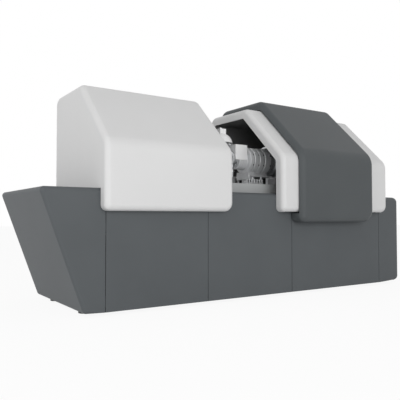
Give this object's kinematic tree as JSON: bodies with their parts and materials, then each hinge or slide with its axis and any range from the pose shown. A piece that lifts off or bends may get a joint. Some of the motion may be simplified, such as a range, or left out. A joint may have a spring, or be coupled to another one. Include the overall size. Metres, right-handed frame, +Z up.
{
  "type": "electron diffractometer",
  "caption": "Horizontal electron diffractometer: dark slant-fronted cabinet, white faceted hoods over the column, open sample bay and a sliding dark access hood",
  "frame": {"origin": "on the floor, below the middle of the whole object's length and depth", "axes": "X along the column to the detector end (right in the picture), Y from the front to the rear, Z up"},
  "size_m": [3.25, 1.086, 1.569],
  "materials": {
    "cabinet_paint": "satin powder coat, fine texture",
    "hood_dark": "satin moulded plastic",
    "hood_white": "satin moulded plastic",
    "liner": "matte black",
    "frame": "powder coat",
    "table_paint": "satin",
    "steel": "turned and brushed",
    "aluminium": "turned, clear anodised",
    "ceramic": "glazed ceramic",
    "rubber": "matte",
    "black_plastic": "fine texture",
    "window_glass": "clear lead glass"
  },
  "bodies": {
    "cabinet": {"frame_front_side": "frame", "frame_rear_side": "frame", "frame_cross_tubes": "frame", "levelling_feet": "black_plastic", "prow_cover": "cabinet_paint", "front_panel_left": "cabinet_paint", "front_panel_middle": "cabinet_paint", "front_panel_right": "cabinet_paint", "tail_cover": "cabinet_paint", "rear_panel_left": "cabinet_paint", "rear_panel_middle": "cabinet_paint", "rear_panel_right": "cabinet_paint", "service_inlets": "steel", "deck_plate": "cabinet_paint", "vibration_isolators": "rubber", "optical_table": "table_paint", "source_hood": "hood_white", "source_hood_liner": "liner", "detector_hood": "hood_white", "detector_hood_liner": "liner", "hood_rails": "steel", "high_voltage_tank": "steel", "accelerator_tube": "ceramic", "gun_chamber": "steel", "gun_ion_pump": "steel", "gun_gate_valve": "steel", "condenser_lens_first": "aluminium", "aperture_barrel": "steel", "condenser_lens_second": "aluminium", "sample_chamber": "steel", "chamber_window": "window_glass", "goniometer_base": "steel", "drive_housing": "hood_white", "objective_lens": "aluminium", "projector_lens_1": "aluminium", "projector_lens_2": "aluminium", "projector_lens_3": "aluminium", "projector_lens_4": "aluminium", "lens_cradle": "aluminium", "lens_supply": "black_plastic", "detector_vessel": "steel", "beam_stop_housing": "steel", "detector_camera": "hood_white", "column_saddles": "aluminium", "turbo_pump": "steel", "scroll_pump": "frame", "electronics_crates": "aluminium"},
    "hood": {"access_hood": "hood_dark", "hood_carriages": "steel"},
    "rotor": {"goniometer_rotor": "steel"},
    "pinion": {"drive_pinion": "steel"},
    "stage_x": {"stage_x_slide": "aluminium"},
    "stage_y": {"stage_y_slide": "aluminium", "loading_head": "hood_white"},
    "rod": {"sample_rod": "steel"},
    "knob": {"aperture_knob": "black_plastic"},
    "aperture": {"aperture_rod": "steel"},
    "beam_stop": {"beam_stop_rod": "steel"},
    "fan_wheel_left": {"fan_left": "black_plastic"},
    "fan_wheel_right": {"fan_right": "black_plastic"}
  },
  "joints": [
    {"name": "hood_slide", "type": "slide", "parent": "cabinet", "child": "hood", "axis": [1, 0, 0], "range_m": [-0.646, 0]},
    {"name": "goniometer_turn", "type": "hinge", "parent": "cabinet", "child": "rotor", "pos_m": [-0.0915, -0.0225, 1.19], "axis": [0, 0, 1], "range_deg": [-70, 70]},
    {"name": "pinion_turn", "type": "hinge", "parent": "cabinet", "child": "pinion", "pos_m": [-0.0015, -0.0225, 1.19], "axis": [0, 0, 1], "range_deg": [-290, 290]},
    {"name": "stage_x_travel", "type": "slide", "parent": "rotor", "child": "stage_x", "axis": [1, 0, 0], "range_m": [-0.002, 0.002]},
    {"name": "stage_y_travel", "type": "slide", "parent": "stage_x", "child": "stage_y", "axis": [0, 1, 0], "range_m": [-0.002, 0.002]},
    {"name": "rod_lift", "type": "slide", "parent": "stage_y", "child": "rod", "axis": [0, 0, 1], "range_m": [0, 0.16]},
    {"name": "knob_turn", "type": "hinge", "parent": "cabinet", "child": "knob", "pos_m": [-0.3095, -0.19, 1.059], "axis": [0, 1, 0], "range_deg": [0, 720]},
    {"name": "aperture_travel", "type": "slide", "parent": "cabinet", "child": "aperture", "axis": [0, -1, 0], "range_m": [0, 0.008]},
    {"name": "beam_stop_lift", "type": "slide", "parent": "cabinet", "child": "beam_stop", "axis": [0, 0, 1], "range_m": [0, 0.03]},
    {"name": "fan_left_spin", "type": "hinge", "parent": "cabinet", "child": "fan_wheel_left", "pos_m": [-0.22525, 0.52, 0.4], "axis": [0, 1, 0], "continuous": true},
    {"name": "fan_right_spin", "type": "hinge", "parent": "cabinet", "child": "fan_wheel_right", "pos_m": [0.03475, 0.52, 0.4], "axis": [0, 1, 0], "continuous": true}
  ],
  "couplings": [
    {"joint": "pinion_turn", "follows": "goniometer_turn", "ratio": -4},
    {"joint": "knob_turn", "follows": "aperture_travel", "rad_per_m": 1570.8}
  ]
}
